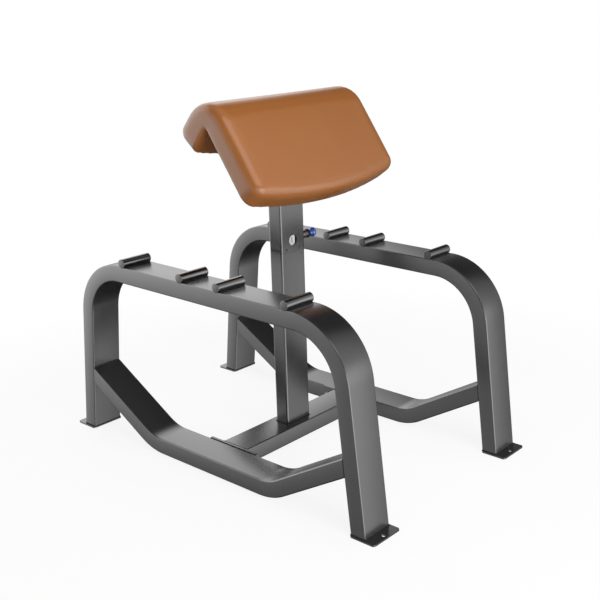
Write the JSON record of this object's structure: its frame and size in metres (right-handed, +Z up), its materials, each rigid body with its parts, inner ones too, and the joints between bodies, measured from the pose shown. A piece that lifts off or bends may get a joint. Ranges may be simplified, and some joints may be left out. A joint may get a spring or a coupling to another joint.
{
  "type": "preacher curl bench",
  "caption": "standing preacher curl bench: padded inverted-V arm rest on a telescoping post with a pull pin, between two bent-tube side arches with bar stops",
  "frame": {"origin": "on the floor, midway between the four foot plates, under the post", "axes": "X across the bench, with +X on the pull pin's side; -Y towards the long slope of the pad, which is the front; Z up"},
  "size_m": [0.732, 1.244, 1.0652],
  "materials": {
    "frame_paint": "satin dark grey metallic powder coat",
    "stop_paint": "semi-gloss near-black paint",
    "zinc_steel": "zinc-plated steel, slightly dull",
    "spring_steel": "bright drawn wire",
    "plated_tube": "plated sliding tube",
    "white_strip": "white printed strip with plain numbers",
    "black_plastic": "moulded black nylon",
    "blue_plastic": "glossy moulded blue",
    "pad_vinyl": "smooth tan-brown vinyl upholstery with a fine grain",
    "foam": "firm upholstery foam",
    "plywood": "raw plywood"
  },
  "bodies": {
    "frame": {"left_arch": "frame_paint", "left_brace": "frame_paint", "left_front_foot": "frame_paint", "left_rear_foot": "frame_paint", "left_bar_stop_1": "stop_paint", "left_bar_stop_2": "stop_paint", "left_bar_stop_3": "stop_paint", "left_bar_stop_4": "stop_paint", "right_arch": "frame_paint", "right_brace": "frame_paint", "right_front_foot": "frame_paint", "right_rear_foot": "frame_paint", "right_bar_stop_1": "stop_paint", "right_bar_stop_2": "stop_paint", "right_bar_stop_3": "stop_paint", "right_bar_stop_4": "stop_paint", "cross_tube": "frame_paint", "left_flange": "frame_paint", "right_flange": "frame_paint", "flange_bolts": "zinc_steel", "flange_nuts": "zinc_steel", "lower_post": "frame_paint", "inner_tube": "plated_tube", "upper_spacer": "frame_paint", "lower_spacer": "frame_paint", "number_strip": "white_strip"},
    "pad_carriage": {"upper_sleeve": "frame_paint", "lower_guide_bush": "black_plastic", "upper_guide_bush": "black_plastic", "pin_housing": "zinc_steel", "pin_cap": "black_plastic", "pin_spring": "spring_steel", "pad_bracket": "frame_paint", "left_bracket_gusset": "frame_paint", "right_bracket_gusset": "frame_paint", "pad_washers": "zinc_steel", "pad_bolts": "zinc_steel", "threaded_inserts": "zinc_steel", "front_pad_board": "plywood", "rear_pad_board": "plywood", "pad_foam": "foam", "pad_cover": "pad_vinyl"},
    "pull_pin": {"pin_plunger": "zinc_steel", "pin_knob": "blue_plastic"}
  },
  "joints": [
    {"name": "pad_height", "type": "slide", "parent": "frame", "child": "pad_carriage", "axis": [0, 0, 1], "range_m": [0, 0.12]},
    {"name": "pin_pull", "type": "slide", "parent": "pad_carriage", "child": "pull_pin", "axis": [1, 0, 0], "range_m": [0, 0.012], "stiffness_N_per_m": 900, "springref_m": -0.012, "deforming": ["pin_spring"]}
  ]
}
